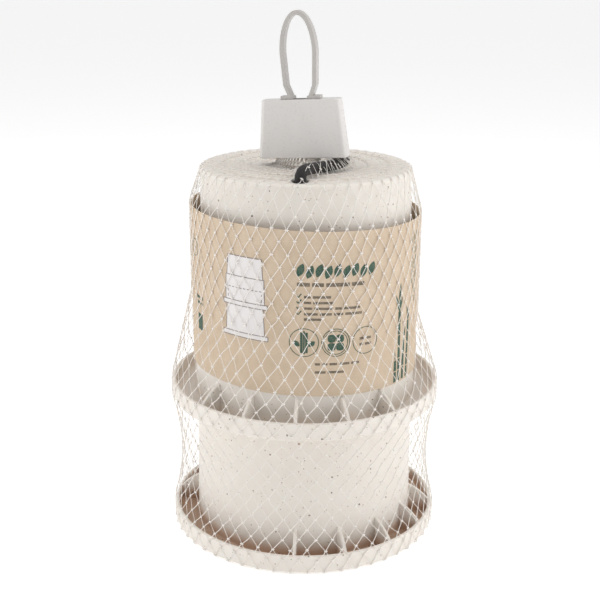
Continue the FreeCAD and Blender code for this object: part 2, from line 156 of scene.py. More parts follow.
def joined(parts):
    """Several (points, faces) as one."""
    points, faces, start = [], [], 0
    for part_points, part_faces in parts:
        points.append(np.asarray(part_points, float))
        faces += [[start + i for i in face] for face in part_faces]
        start += len(part_points)
    return np.concatenate(points), faces


# %% [markdown]
# ## Colours and nodes
#
# Paint and plastic colours are written as sRGB hex, the way a swatch is read off, and the
# shader works in linear light, so one function turns one into the other. A second adds a
# node with its settings and its links in one call, which keeps each material readable.

# %% Helpers for materials
def linear(hex_colour):
    """sRGB hex to linear RGBA."""
    values = [int(hex_colour[i:i + 2], 16) / 255 for i in (1, 3, 5)]
    return [v / 12.92 if v <= 0.04045 else ((v + 0.055) / 1.055) ** 2.4 for v in values] + [1.0]


def per_mm(size):
    """Texture scale at which one cell of a pattern is size millimetres, in object metres."""
    return 1 / (size * MM)


def add(tree, kind, inputs=None, **settings):
    """One node. inputs holds a value or an output socket for each input named or numbered."""
    node = tree.nodes.new("ShaderNode" + kind)
    for name, value in settings.items():
        setattr(node, name, value)
    for socket, value in (inputs or {}).items():
        if isinstance(value, bpy.types.NodeSocket):
            tree.links.new(value, node.inputs[socket])
        else:
            node.inputs[socket].default_value = value
    return node


def new_material(name, **shader):
    """A material with one Principled shader, given by its sockets, and its tree."""
    material = bpy.data.materials.new(name)
    material.use_nodes = True
    tree = material.node_tree
    principled = tree.nodes["Principled BSDF"]
    for socket, value in shader.items():
        principled.inputs[socket.replace("_", " ")].default_value = value
    return material, tree, principled


def bump(tree, principled, height, depth):
    """Relief of that depth in millimetres, from a height of 0 to 1."""
    node = add(tree, "Bump", {"Height": height, "Distance": depth * MM, "Strength": 1.0})
    tree.links.new(node.outputs["Normal"], principled.inputs["Normal"])


# %% [markdown]
# ## Black braided cord
#
# The hand cord is solid-braid polyester, 6.2 mm across. Braided polyester is matt, with a
# faint sheen where the yarns turn to the light, and near black because light that enters
# between the plaits doesn't come back. Each plait is a bundle of fine filaments, drawn here
# as a thin wave along the fibre.

# %% Cord material
CORD_BLACK = "#0e0b0b"
CORD_WORN = "#2a2322"


def braided_polyester():
    material, tree, principled = new_material(
        "braided_polyester", Roughness=0.78, IOR=1.54, Sheen_Weight=0.12, Sheen_Roughness=0.45)
    place = add(tree, "TexCoord").outputs["Object"]
    fibre = add(tree, "TexNoise", {"Vector": place, "Scale": per_mm(0.5), "Detail": 3.0})
    patch = add(tree, "TexNoise", {"Vector": place, "Scale": per_mm(3.0), "Detail": 1.0})
    shade = add(tree, "Math", {0: fibre.outputs["Fac"], 1: patch.outputs["Fac"]}, operation="MULTIPLY")
    ramp = add(tree, "ValToRGB", {"Fac": shade.outputs[0]})
    ramp.color_ramp.elements[0].position = 0.12
    ramp.color_ramp.elements[0].color = linear(CORD_BLACK)
    ramp.color_ramp.elements[1].position = 0.48
    ramp.color_ramp.elements[1].color = linear(CORD_WORN)
    tree.links.new(ramp.outputs["Color"], principled.inputs["Base Color"])
    bump(tree, principled, fibre.outputs["Fac"], 0.12)
    return material


cord_material = braided_polyester()

# %% [markdown]
# ## The cord's route
#
# The cord starts in a stopper knot under the front hole, comes up, crosses the top under the
# net, goes down the back hole and is packed away inside as a coil on the lower stilt. Its
# line is one NURBS spline: the free stretch has listed control points and the coil's
# turns come from a loop. It winds down in an outer column and comes back up in an inner one.

# %% Lay the cord's line
CORD_DIAMETER = 6.2
CORD_ROUTE = [
    (-3.306, -48.488, 201.3), (-3.306, -48.488, 207.8), (-2.0, -44.8, 211.7), (1.8, -37.8, 211.4),
    (8.5, -29.5, 210.75), (16.0, -21.0, 210.75), (20.6, -10.5, 210.75), (20.2, 2.0, 210.75),
    (16.0, 15.0, 210.75), (10.0, 27.5, 210.75), (5.0, 38.0, 211.3), (3.6, 44.6, 211.7),
    (3.306, 48.488, 207.8), (3.306, 48.488, 197.7), (3.1, 48.2, 182.7), (2.2, 46.6, 168.7),
    (-3.5, 44.0, 161.6), (-13.0, 38.6, 157.0),
]
OUTER_R, INNER_R = 38.7, 32.3
COIL_TOP_Z, COIL_LOW_Z = 154.4, 135.2
DOWN_TURNS, UP_TURNS = 3, 2.5
TURN_PITCH = 6.4
STEP_TURN = 20
CHANGE_TURN = 60
COIL_START = 120


def helix(radius, start, turns, low, pitch):
    """Control points of a helix about Z; angles in degrees, anticlockwise from +X."""
    points = []
    for turned in range(0, int(360 * turns) + 1, STEP_TURN):
        a = math.radians(start + turned)
        points.append((radius * math.cos(a), radius * math.sin(a), low + pitch * turned / 360))
    return points


down = helix(OUTER_R, COIL_START, DOWN_TURNS, COIL_TOP_Z, -TURN_PITCH)
change = helix((OUTER_R + INNER_R) / 2, COIL_START + CHANGE_TURN / 2, 0, COIL_LOW_Z, 0)
up = helix(INNER_R, COIL_START + CHANGE_TURN, UP_TURNS, COIL_LOW_Z, TURN_PITCH)
to_knot = [(29.5, 8.5, 151.5), (23.5, 13.0, 149.0), (18.0, 12.0, 144.0), (17.1, 7.0, 140.5)]
cord_controls = CORD_ROUTE + down + change + up + to_knot
print(len(cord_controls), "control points in the cord's route")


# %% [markdown]
# A rope's surface has to follow the smooth line, not its control points. Blender works that
# line out itself when a curve with no bevel is turned into a mesh, so it is read back from
# there, and then given points an even step apart.

# %% Read the smooth line back
def smooth_line(controls):
    """Points along a quadratic NURBS through its control points' spans, in millimetres."""
    curve = bpy.data.curves.new("cord_line", "CURVE")
    curve.dimensions = "3D"
    curve.resolution_u = 6
    spline = curve.splines.new("NURBS")
    spline.points.add(len(controls) - 1)
    for point, place in zip(spline.points, controls):
        point.co = (*(Vector(place) * MM), 1)
    spline.order_u = 3
    spline.use_endpoint_u = True
    carrier = bpy.data.objects.new("cord_line", curve)
    mesh = bpy.data.meshes.new_from_object(carrier)
    line = np.array([v.co for v in mesh.vertices]) / MM
    bpy.data.objects.remove(carrier)
    bpy.data.meshes.remove(mesh)
    return line


def respaced(line, step):
    """The line again with points an even step apart; step may be a function of arc length."""
    run = np.concatenate([[0], np.cumsum(np.linalg.norm(np.diff(line, axis=0), axis=1))])
    stops = [0.0]
    while stops[-1] < run[-1]:
        stops.append(stops[-1] + (step(stops[-1]) if callable(step) else step))
    stops = np.array(stops) * run[-1] / stops[-1]
    return np.stack([np.interp(stops, run, line[:, k]) for k in range(3)], 1), stops


cord_line = smooth_line(cord_controls)

# %% [markdown]
# ## The braid
#
# A diamond braid is eight plaits wound one way and eight the other, each passing over one
# and under the next. Modelling every plait along the whole cord would take a million
# faces, so the tube's own surface is lifted where a plait is on top: each diamond between
# two crossings is a pillow, longer in the direction that its plait runs.

# %% Build the cord and its knots
PLAITS = 8
BRAID_PITCH = 22.0
PLAIT_RELIEF = 0.34
CORD_SIDES = 48
FINE_STEP, COARSE_STEP = 0.55, 1.15
SEEN_LENGTH = 185.0


def carried_normals(line):
    """A direction across the line at each point that turns as little as possible."""
    along = unit(np.gradient(line, axis=0))
    normals = np.zeros_like(line)
    normal = np.cross(along[0], (0.3, 0.9, 0.1))
    for i, direction in enumerate(along):
        normal = normal - normal.dot(direction) * direction
        normal = normal / np.linalg.norm(normal)
        normals[i] = normal
    return normals


def braided_tube(line, run, diameter):
    """A braided cord along a line, whose arc length at each point is run."""
    turn = np.arange(CORD_SIDES) / CORD_SIDES
    right = PLAITS * (turn[None, :] + run[:, None] / BRAID_PITCH)
    left = PLAITS * (turn[None, :] - run[:, None] / BRAID_PITCH)
    right_on_top = (np.floor(right) + np.floor(left)) % 2 == 0
    across = np.sin(np.pi * (np.where(right_on_top, left, right) % 1))
    lengthways = np.sin(np.pi * (np.where(right_on_top, right, left) % 1))
    pillow = across ** 0.7 * (0.45 + 0.55 * lengthways)
    radii = diameter / 2 - PLAIT_RELIEF * (1 - pillow)
    return tubes(line[None], radii[None], carried_normals(line)[None], CORD_SIDES)


def cord_step(run):
    return FINE_STEP if run < SEEN_LENGTH else COARSE_STEP


rope_line, rope_run = respaced(cord_line, cord_step)
hand_cord = new_piece("hand_cord_braid", *braided_tube(rope_line, rope_run, CORD_DIAMETER), cord_material)
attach(hand_cord, "upper_stilt")
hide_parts("hand_cord", "hand_cord_coil")


# %% [markdown]
# A stopper knot keeps the cord from slipping through its hole. A trefoil is the closed form
# of an overhand knot, and three sines give it; it is left open at one place, where the cord
# would enter and leave, and shrunk until its strands press on each other.

# %% Tie the two stopper knots
KNOT_SCALE = 1.85
KNOT_RISE = 1.6
KNOT_CORD = 5.9


def overhand_knot(name, node, axis):
    """A tight overhand knot where the model keeps a barrel for it."""
    low, high = (np.array(c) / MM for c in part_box(node))
    t = np.linspace(0.1, 2 * math.pi - 0.1, 220)
    loop = np.stack([np.sin(t) + 2 * np.sin(2 * t), np.cos(t) - 2 * np.cos(2 * t),
                     -KNOT_RISE * np.sin(3 * t)], 1) * KNOT_SCALE
    if axis == "Y":
        loop = loop[:, [0, 2, 1]]
    line, run = respaced(loop + (low + high) / 2, FINE_STEP)
    knot = new_piece(name, *braided_tube(line, run, KNOT_CORD), cord_material)
    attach(knot, "upper_stilt")
    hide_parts(node)
    return knot


knots = [overhand_knot("front_stopper_knot", "cord_knot_front", "Z"),
         overhand_knot("end_stopper_knot", "cord_knot_end", "Y")]

# %% [markdown]
# ## Speckled bioplastic
#
# The stilts are injection moulded from sugar-cane polyethylene filled with plant fibre. The
# eye reads three things: a warm cream that is slightly waxy, because light goes a little way
# in; dark flecks of fibre from dust size up to a millimetre; and a satin face, off a mould
# that was bead blasted. The flecks are cells of a Voronoi pattern: each cell holds a spot of
# its own size, or none, and a little noise bends the spots out of round. Down in the pockets
# of the flange the cream is painted brown, as painted shade: the real pockets look brown because
# light gets out of them only after many bounces, and each bounce takes a little more of the blue.

# %% Stilt material
CREAM = "#ede8e1"
CREAM_DEEP = "#e6dfd6"
FLECK_TONES = ((0.0, "#33291f"), (0.3, "#6b4f38"), (1.0, "#b08f70"))
FLECK_SIZES = ((3.0, 1.3, 0.4, 0.8), (1.9, 0.9, 0.6, 0.5), (1.1, 0.5, 0.6, 0.3))
# Brown of the painted shade in the flange pockets.
POCKET_PAINTED_SHADE = (0.66, 0.49, 0.39, 1.0)


def flecks(tree, place, cell, largest, share):
    """Cover of one size of flecks, 0 to 1, and a random tone for each. Sizes are in mm."""
    pattern = add(tree, "TexVoronoi", {"Vector": place, "Scale": per_mm(cell), "Randomness": 1.0})
    parts = add(tree, "SeparateColor", {"Color": pattern.outputs["Color"]})
    size = add(tree, "MapRange", {"Value": parts.outputs["Red"], "From Min": 1 - share, "From Max": 1.0,
                                  "To Min": 0.0, "To Max": largest / 2 / cell})
    inside = add(tree, "Math", {0: size.outputs[0], 1: pattern.outputs["Distance"]}, operation="SUBTRACT")
    soft_edge = 0.06 / cell
    cover = add(tree, "Math", {0: inside.outputs[0], 1: soft_edge}, operation="DIVIDE", use_clamp=True)
    return cover.outputs[0], parts.outputs["Green"]


def pocket_shade_mask(tree, place, low, high):
    """Where the painted shade goes: 1 deep in the trough between wall and lip, 0 at the lip's top edge and
    outside it.
    """
    axes = add(tree, "SeparateXYZ", {"Vector": place})
    plan = add(tree, "CombineXYZ", {"X": axes.outputs["X"], "Y": axes.outputs["Y"]})
    radius = add(tree, "VectorMath", {0: plan.outputs[0]}, operation="LENGTH").outputs["Value"]
    inside = add(tree, "Math", {0: radius, 1: (LIP_R - 1.2) * MM}, operation="LESS_THAN")
    above = add(tree, "Math", {0: axes.outputs["Z"], 1: (low + 1.0) * MM}, operation="GREATER_THAN")
    deep = add(tree, "MapRange", {"Value": axes.outputs["Z"], "From Min": (high + 1.5) * MM,
                                  "From Max": (low + 3.5) * MM}, interpolation_type="SMOOTHSTEP")
    both = add(tree, "Math", {0: inside.outputs[0], 1: above.outputs[0]}, operation="MULTIPLY")
    return add(tree, "Math", {0: both.outputs[0], 1: deep.outputs[0]}, operation="MULTIPLY").outputs[0]


def cane_bioplastic():
    material, tree, principled = new_material(
        "moulded_cane_bioplastic", Roughness=0.46, IOR=1.5, Subsurface_Weight=0.12,
        Subsurface_Radius=(1.6, 1.2, 0.8), Subsurface_Scale=MM)
    place = add(tree, "TexCoord").outputs["Object"]
    cloud = add(tree, "TexNoise", {"Vector": place, "Scale": per_mm(14), "Detail": 2.0})
    colour = add(tree, "Mix", {"Factor": cloud.outputs["Fac"], 6: linear(CREAM), 7: linear(CREAM_DEEP)},
                 data_type="RGBA").outputs[2]
    shake = add(tree, "TexNoise", {"Vector": place, "Scale": per_mm(0.9), "Detail": 1.0})
    centred = add(tree, "VectorMath", {0: shake.outputs["Color"], 1: (0.5, 0.5, 0.5)}, operation="SUBTRACT")
    reach = add(tree, "VectorMath", {0: centred.outputs[0], "Scale": 0.9 * MM}, operation="SCALE")
    bent = add(tree, "VectorMath", {0: place, 1: reach.outputs[0]}, operation="ADD").outputs[0]
    for cell, largest, share, strength in FLECK_SIZES:
        cover, tone = flecks(tree, bent, cell, largest, share)
        ramp = add(tree, "ValToRGB", {"Fac": tone})
        for position, hex_colour in FLECK_TONES[1:-1]:
            ramp.color_ramp.elements.new(position).color = linear(hex_colour)
        ramp.color_ramp.elements[0].color = linear(FLECK_TONES[0][1])
        ramp.color_ramp.elements[-1].color = linear(FLECK_TONES[-1][1])
        weight = add(tree, "Math", {0: cover, 1: strength}, operation="MULTIPLY")
        colour = add(tree, "Mix", {"Factor": weight.outputs[0], 6: colour, 7: ramp.outputs["Color"]},
                     data_type="RGBA").outputs[2]
    # Painted shade: the base colour is multiplied by brown deep in each flange's pockets, fully on the
    # lower flange and a fifth as strong on the upper one.
    for (low, high), strength in ((LOWER_LIP, 1.0), (UPPER_LIP, 0.2)):
        deep = pocket_shade_mask(tree, place, low, high)
        weight = add(tree, "Math", {0: deep, 1: strength}, operation="MULTIPLY")
        colour = add(tree, "Mix", {"Factor": weight.outputs[0], 6: colour, 7: POCKET_PAINTED_SHADE},
                     data_type="RGBA", blend_type="MULTIPLY").outputs[2]
    tree.links.new(colour, principled.inputs["Base Color"])
    grit = add(tree, "TexNoise", {"Vector": place, "Scale": per_mm(0.6), "Detail": 2.0})
    bump(tree, principled, grit.outputs["Fac"], 0.02)
    return material


bioplastic = cane_bioplastic()
for name in ("lower_stilt", "upper_stilt"):
    nodes[name].data.materials.clear()
    nodes[name].data.materials.append(bioplastic)
    print(name, "wears", bioplastic.name)

# %% [markdown]
# ## The kraft card band
#
# The label is one strip of kraft card wrapped round the upper stilt and glued where its ends
# overlap at the back. Unbleached kraft is brown because its fibres keep their lignin; it is
# dead matt, and faintly mottled with fibres a few millimetres long. The band is a thin
# closed skin swept round, a little out of round as bent card always is, and its two edges
# slope, because the band sits slightly crooked on the cup.

# %% Card material
KRAFT = "#dbc8b2"
KRAFT_DARK = "#ccb8a0"


def kraft_card():
    material, tree, principled = new_material("uncoated_kraft_card", Roughness=0.9, IOR=1.45)
    place = add(tree, "TexCoord").outputs["Object"]
    flat_fibre = add(tree, "Mapping", {"Vector": place, "Scale": (1.0, 1.0, 3.0)})
    fibre = add(tree, "TexNoise", {"Vector": flat_fibre.outputs[0], "Scale": per_mm(1.6), "Detail": 4.0,
                                   "Roughness": 0.65})
    mottle = add(tree, "TexNoise", {"Vector": place, "Scale": per_mm(9), "Detail": 2.0})
    mixed = add(tree, "Math", {0: fibre.outputs["Fac"], 1: mottle.outputs["Fac"]}, operation="MULTIPLY")
    tone = add(tree, "MapRange", {"Value": mixed.outputs[0], "From Min": 0.12, "From Max": 0.42})
    colour = add(tree, "Mix", {"Factor": tone.outputs[0], 6: linear(KRAFT_DARK), 7: linear(KRAFT)},
                 data_type="RGBA")
    tree.links.new(colour.outputs[2], principled.inputs["Base Color"])
    bump(tree, principled, fibre.outputs["Fac"], 0.04)
    return material


# %% [markdown]
# The band could be a cylinder with a solidify modifier, but then its two edges would be level
# and its ends would meet edge to edge. Sweeping a thin section round gives the slanting
# edges, and lets one end climb over the other at the glued seam.

# %% Wrap the card
CARD_THICK = 0.35
CARD_LOW, CARD_HIGH = 97.3, 184.8
LOW_DROP, HIGH_DROP = 2.0, 2.4
SEAM_HALF = 8
CARD_ROWS = 18


def around(azimuth, radius, z):
    """Points from azimuths in radians, measured from the front towards +X."""
    azimuth, radius, z = np.broadcast_arrays(azimuth, radius, z)
    return np.stack([radius * np.sin(azimuth), -radius * np.cos(azimuth), z], -1)


def card_bend(azimuth, z):
    """How far the card stands off its true circle."""
    return 0.05 * np.sin(5 * azimuth + z / 23) + 0.03 * np.sin(9 * azimuth - z / 15)


def card_band():
    turn = np.radians(np.linspace(-180 - SEAM_HALF, 180 + SEAM_HALF, 283))
    lap = np.clip((np.degrees(turn) - (180 - SEAM_HALF - 6)) / 6, 0, 1)
    inner = CARD_R - CARD_THICK + (CARD_THICK + 0.06) * lap * lap * (3 - 2 * lap)
    share = np.linspace(0, 1, CARD_ROWS)
    low = CARD_LOW - LOW_DROP * np.sin(turn)
    high = CARD_HIGH - HIGH_DROP * np.sin(turn)
    z = low[:, None] + (high - low)[:, None] * share
    bend = card_bend(turn[:, None], z)
    inside = around(turn[:, None], inner[:, None] + bend, z)
    outside = around(turn[:, None], inner[:, None] + CARD_THICK + bend, z)
    return lofts(np.concatenate([outside, inside[:, ::-1]], 1)[None])


card = new_piece("kraft_card_band", *card_band(), kraft_card(), smooth=False)
card.data.shade_smooth()
card.data.set_sharp_from_angle(angle=math.radians(40))
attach(card, "label_band")
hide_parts("label_band")

# %% [markdown]
# ## The print
#
# The real band carries words and marks. Here they give way to plain motifs in the same
# places and inks: a drawing of the two cups, a row of leaves for the heading, bars for the
# small lines, ticks, three round icons and cane stalks. Offset ink lies on the card as a
# film, so each motif is a very thin solid, laid out flat as on the printer's sheet, in
# millimetres along and up the strip, and then wrapped round the band.

# %% Ink materials
def offset_ink(name, hex_colour, depth):
    """Ink soaked into card: its colour, broken up where a fibre stands proud."""
    material, tree, principled = new_material(name, Roughness=0.7, IOR=1.48)
    place = add(tree, "TexCoord").outputs["Object"]
    fibre = add(tree, "TexNoise", {"Vector": place, "Scale": per_mm(0.8), "Detail": 3.0})
    wear = add(tree, "MapRange", {"Value": fibre.outputs["Fac"], "From Min": 0.35, "From Max": 0.75,
                                  "To Min": 0.0, "To Max": depth})
    colour = add(tree, "Mix", {"Factor": wear.outputs[0], 6: linear(hex_colour), 7: linear(KRAFT)},
                 data_type="RGBA")
    tree.links.new(colour.outputs[2], principled.inputs["Base Color"])
    return material


# %% [markdown]
# A flat shape bent round a band must be cut finely across the bend, or its middle would sink
# into the card. Every motif is therefore made of strips of small quads: a panel, a line, a
# ring or a leaf.

# %% Draw flat shapes as strips of small quads
PRINT_PROUD = 0.07
PRINT_SUNK = 0.1
PRINT_STEP = 1.4
PRINT_R = CARD_R


def strip(left, right):
    """Quads between two edges with the same number of points."""
    return [(left[i], right[i], right[i + 1], left[i + 1]) for i in range(len(left) - 1)]


def panel(along, low, high):
    """The area over a stretch of the strip between two heights, each (at start, at end)."""
    count = max(2, math.ceil(abs(along[1] - along[0]) / PRINT_STEP) + 1)
    u = np.linspace(along[0], along[1], count)
    return strip(list(zip(u, np.linspace(*high, count))), list(zip(u, np.linspace(*low, count))))


def stroke(path, width):
    """A line of that width through the points of path."""
    path = np.asarray(path, float)
    gaps = np.linalg.norm(np.diff(path, axis=0), axis=1)
    run = np.concatenate([[0], np.cumsum(gaps)])
    stops = np.unique(np.concatenate([run, np.linspace(0, run[-1], math.ceil(run[-1] / PRINT_STEP) + 1)]))
    points = np.stack([np.interp(stops, run, path[:, k]) for k in range(2)], 1)
    points = points[np.concatenate([[True], np.linalg.norm(np.diff(points, axis=0), axis=1) > 0.02])]
    along = unit(np.gradient(points, axis=0))
    side = np.stack([-along[:, 1], along[:, 0]], 1) * width / 2
    return strip((points + side).tolist(), (points - side).tolist())


def circle(centre, radius, width, count=44):
    turn = np.linspace(0, 2 * math.pi, count + 1)
    ring = np.stack([np.cos(turn), np.sin(turn)], 1)
    outer, inner = (np.asarray(centre) + ring * (radius + k * width / 2) for k in (1, -1))
    return strip(outer.tolist(), inner.tolist())


def leaf(base, tip, fatness):
    """A pointed oval from base to tip."""
    base, tip = np.asarray(base, float), np.asarray(tip, float)
    axis = tip - base
    side = np.array([-axis[1], axis[0]]) * fatness / 2
    share = np.linspace(0, 1, 9)
    width = np.sin(np.pi * share) ** 0.8 + 0.02
    middle = base + share[:, None] * axis
    return strip((middle + side * width[:, None]).tolist(), (middle - side * width[:, None]).tolist())


def wrapped(quads, level):
    """Thin solids on the band from flat quads; level lifts one ink over another."""
    flat = np.asarray(quads, float)
    azimuth = flat[..., 0] / PRINT_R
    z = flat[..., 1] - (LOW_DROP + HIGH_DROP) / 2 * np.sin(azimuth)
    stand = card_bend(azimuth, z)
    top = around(azimuth, PRINT_R + PRINT_PROUD + level + stand, z)
    base = around(azimuth, PRINT_R - PRINT_SUNK + stand, z)
    return lofts(np.stack([base, top], 1))


def printed(name, quads, material, level=0.0):
    piece = new_piece(name, *wrapped(quads, level), material, smooth=False)
    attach(piece, "label_band")
    return piece


# %% [markdown]
# The drawing is white ink under fine grey lines, in two passes like the real print, so the
# lines lie a hair above the fill.

# %% Lay out the drawing of the stacked cups
FINE_LINE = 0.42
CUP_LEFT, CUP_RIGHT = -44.6, -21.2


def cup_drawing():
    """White fills, and grey outlines, of an upper cup standing on a lower one."""
    middle = (CUP_LEFT + CUP_RIGHT) / 2
    half = (CUP_RIGHT - CUP_LEFT) / 2
    tiers = [(168.3, 157.6, half - 1.6, half - 0.9), (157.6, 144.4, half - 0.3, half),
             (144.4, 142.0, half + 1.5, half + 1.5), (142.0, 127.7, half - 0.8, half),
             (127.7, 125.2, half + 1.8, half + 1.8)]
    fills, lines = [], []
    for high, low, top_half, low_half in tiers:
        fills += panel((middle - low_half, middle - top_half), (low, low), (low, high))
        fills += panel((middle - top_half, middle + top_half), (low, low), (high, high))
        fills += panel((middle + top_half, middle + low_half), (low, low), (high, low))
        corners = [(middle - low_half, low), (middle - top_half, high),
                   (middle + top_half, high), (middle + low_half, low), (middle - low_half, low)]
        for start, end in zip(corners, corners[1:]):
            lines += stroke([start, end], FINE_LINE)
    for i in range(9):
        u = middle - half + 2.0 + i * 2.3
        lines += stroke([(u, 151.4), (u + 1.4, 151.4)], FINE_LINE)
    for side in (-1, 1):
        for i in range(2):
            v = 149.8 - i * 2.6
            u = middle + side * (half - 1.6)
            lines += stroke([(u, v), (u, v - 1.5)], FINE_LINE)
    return fills, lines


cup_fills, cup_lines = cup_drawing()

# %% [markdown]
# The rest is laid out row by row in the places that a heading, small lines and marks would
# take. Bars of uneven width read as lines of small print without saying anything.

# %% Lay out the green and grey motifs
def heading():
    """A row of slanted leaves in place of a heading."""
    shapes = []
    for i in range(9):
        u = -4.0 + i * 4.75
        low = 160.6 if i % 2 else 161.4
        shapes += leaf((u, low), (u + 2.7, low + 6.9), 0.5)
    return shapes


def bars(rows, height):
    """Rows of short bars, each row (start, level, widths)."""
    shapes = []
    for start, level, widths in rows:
        u = start
        for width in widths:
            shapes += stroke([(u, level), (u + width, level)], height)
            u += width + 1.1
    return shapes


def ticks():
    shapes = []
    for i in range(4):
        v = 151.5 - i * 3.0
        shapes += stroke([(-4.6, v), (-3.7, v - 1.0)], 0.55)
        shapes += stroke([(-3.7, v - 1.0), (-2.1, v + 1.1)], 0.55)
    return shapes


def icons():
    """Three rings: a sprig, a flower of leaves, and two short bars."""
    shapes = []
    for u, rings in ((-0.7, (7.5,)), (15.8, (7.4, 6.3)), (32.4, (7.3,))):
        for radius in rings:
            shapes += circle((u, 126.6), radius, 0.38)
    for k in (-1.0, 1.0):
        shapes += stroke([(-0.7 + k * 1.3, 121.0), (-0.7 + k * 1.3, 132.0)], 1.3)
        shapes += leaf((-0.7 + k * 2.2, 124.6), (-0.7 + k * 5.6, 127.4), 0.6)
    shapes += stroke([(-0.7, 120.4), (-0.7, 132.8)], 0.9)
    for i in range(4):
        a = math.radians(90 * i + 45)
        shapes += leaf((15.8 + 0.7 * math.cos(a), 126.6 + 0.7 * math.sin(a)),
                       (15.8 + 5.6 * math.cos(a), 126.6 + 5.6 * math.sin(a)), 0.95)
    return shapes


def cane(u, low, high, lean, leaves):
    """One stalk of cane in segments, with long leaves from its top."""
    shapes = []
    count = max(2, round((high - low) / 6.5))
    for i in range(count):
        v0 = low + (high - low) * i / count
        v1 = low + (high - low) * (i + 1) / count - 0.6
        mid0, mid1 = u + lean * (v0 - low), u + lean * (v1 - low)
        shapes += strip([(mid0 - 1.2, v0), (mid1 - 1.0, v1)], [(mid0 + 1.2, v0), (mid1 + 1.0, v1)])
    top = u + lean * (high - low)
    for reach, rise in leaves:
        shapes += leaf((top, high - 1.0), (top + reach, high + rise), 0.14)
    return shapes


def side_marks():
    """A ring and a block at the far left, and upright rules at the far right."""
    shapes = circle((-76.0, 164.0), 4.6, 0.45)
    shapes += panel((-72.6, -66.8), (119.5, 119.5), (128.6, 128.6))
    shapes += bars([(-74.0, 137.6, (4.0, 3.2)), (-74.0, 134.6, (5.2, 2.0))], 1.5)
    for i, (low, high) in enumerate(((150, 180), (142, 178), (139, 176))):
        v = low
        while v < high:
            shapes += stroke([(70.4 + i * 2.6, v), (70.4 + i * 2.6, v + 3.2)], 0.7)
            v += 4.5
    return shapes


green_shapes = heading() + ticks() + icons() + side_marks()
green_shapes += cane(58.0, 98.3, 138.0, -0.012, ((-3.5, 9.0), (0.5, 15.0), (2.8, 7.0)))
green_shapes += cane(66.5, 98.6, 131.0, 0.02, ((-1.8, 8.0), (1.6, 6.0)))
green_shapes += cane(54.6, 98.2, 111.0, 0.0, ((-0.4, 4.5),)) + cane(62.0, 98.5, 121.0, 0.02, ((1.8, 7.0),))
grey_shapes = bars([(-4.4, 157.4, (6.5, 6.0, 12.5, 7.0))], 1.9)
grey_shapes += bars([(-0.8, 150.9, (3.4, 9.2)), (-0.8, 147.9, (3.6, 10.4)),
                     (-0.8, 144.9, (4.2, 9.6, 3.4, 9.0)),
                     (-0.8, 141.9, (7.0, 6.2, 4.8, 9.4)), (-0.8, 139.1, (8.8,)),
                     (5.0, 115.0, (2.6, 2.8, 4.0, 5.6, 4.4)), (5.0, 110.6, (5.6, 8.6))], 1.25)
grey_shapes += bars([(28.9, 127.8, (2.9, 2.9)), (28.9, 124.6, (2.2, 3.6))], 1.3)
printed("print_cups_white", cup_fills, offset_ink("white_offset_ink", "#e9e6e6", 0.12))
printed("print_cups_outline", cup_lines, offset_ink("grey_offset_ink", "#827a78", 0.2), 0.03)
printed("print_green", green_shapes, offset_ink("green_offset_ink", "#2b5345", 0.15))
printed("print_grey", grey_shapes, offset_ink("brown_grey_offset_ink", "#625a4c", 0.3))

# %% [markdown]
# ## Where the net goes
#
# The net is a knotless tube of white polyethylene, pulled over the stack, cut, gathered and
# clamped at both ends. Its mesh is a lattice on a surface of revolution, so the surface comes
# first: for each height, how far out the net runs. It hangs straight from one flange to the
# next, hugs the card, slopes over the top to the hanger's mouth, and folds in under the base.

# %% The net's surface
NET_STAND = 0.6
COLUMNS = 52
FLANGE_NET_R = LIP_R + NET_STAND
WAIST_NET_R = 70.85
HUG_Z, HUG_TILT = 131.5, 6.5
HUG_R = CARD_R + 0.66
TOP_EDGE_R = 57.2
TOP_EDGE_Z = TOP_Z - 0.7
BASE_GATHER = ((75.0, 0.62), (70.0, 0.52), (14.0, 0.52), (9.0, 0.7), (4.6, 7.0),
               (2.5, 12.0), (2.3, 18.0), (4.6, 29.0))


def wall_radius(azimuth, z):
    """Radius of the net over the walls."""
    hug = HUG_Z - HUG_TILT * np.sin(azimuth)
    card_top = CARD_HIGH - HIGH_DROP * np.sin(azimuth) + 0.8
    flange_top = UPPER_LIP[1] + 0.2
    waist_low, waist_high = LOWER_LIP[1] + 1.0, UPPER_LIP[0] + 0.5
    sag = np.clip((z - waist_low) / (waist_high - waist_low), 0, 1)
    radius = FLANGE_NET_R - (FLANGE_NET_R - WAIST_NET_R) * 4 * sag * (1 - sag)
    flare = np.clip((z - flange_top) / (hug - flange_top), 0, 1)
    radius = radius + (HUG_R - FLANGE_NET_R) * flare
    neck = np.clip((z - card_top) / (TOP_EDGE_Z - card_top), 0, 1)
    return radius + (TOP_EDGE_R - HUG_R) * neck


# %% [markdown]
# Over the top, the strands run to a flat slot, the mouth of the clip, and have to ride over
# the cord. The height there is the higher of the plastic and a tent over the cord, which is
# what a stretched net does.

# %% The net over the top and into the mouth
MOUTH_PLACE = np.array([-0.7, -14.0, 208.9])
MOUTH_YAW, MOUTH_LEAN = math.radians(-16.3), math.radians(-3.6)
MOUTH_LEFT, MOUTH_RIGHT, MOUTH_HALF = 14.0, 8.0, 1.3
FOOT_RISE = 3.0
CORD_HALF = 3.42
CORD_ANGLE = math.radians(50)
cord_over_top = cord_line[(cord_line[:, 2] > 206.0)]


def mouth_point(azimuth, height):
    """Where a strand is in the mouth of the clip, that far above its foot ring."""
    x = np.where(np.sin(azimuth) < 0, MOUTH_LEFT, MOUTH_RIGHT) * np.sin(azimuth)
    y = -MOUTH_HALF * np.cos(azimuth)
    lean = math.tan(MOUTH_LEAN)
    x = x + lean * height
    c, s = math.cos(MOUTH_YAW), math.sin(MOUTH_YAW)
    return np.stack(np.broadcast_arrays(
        MOUTH_PLACE[0] + c * x - s * y, MOUTH_PLACE[1] + s * x + c * y, MOUTH_PLACE[2] + height), -1)


